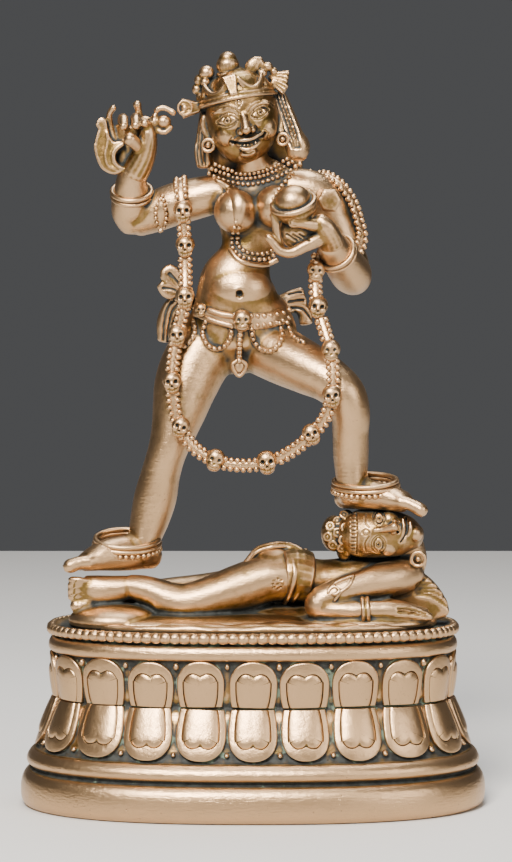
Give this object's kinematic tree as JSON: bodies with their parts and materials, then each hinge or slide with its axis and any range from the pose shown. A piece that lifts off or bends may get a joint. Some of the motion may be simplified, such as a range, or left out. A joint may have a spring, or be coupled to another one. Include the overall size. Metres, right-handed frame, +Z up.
{
  "type": "vajrayogini statue",
  "caption": "Small cast bronze of a dancing goddess with a flaying knife and a skull bowl, treading on a fallen figure, on a double lotus base.",
  "frame": {"origin": "on the ground under the middle of the lotus base", "axes": "+X to the viewer's right along the length of the base, +Y away from the viewer, +Z up"},
  "size_m": [0.1024, 0.061, 0.1644],
  "materials": {
    "base_bronze": "cast copper alloy with an olive brown patina, dark in its recesses and rubbed bright on the petals and mouldings",
    "figure_bronze": "cast and chased copper alloy, rubbed to a coppery sheen on limbs and ornament, near black in its recesses"
  },
  "bodies": {
    "root": {"lotus_base": "base_bronze", "goddess_and_fallen_figure": "figure_bronze"}
  },
  "joints": []
}
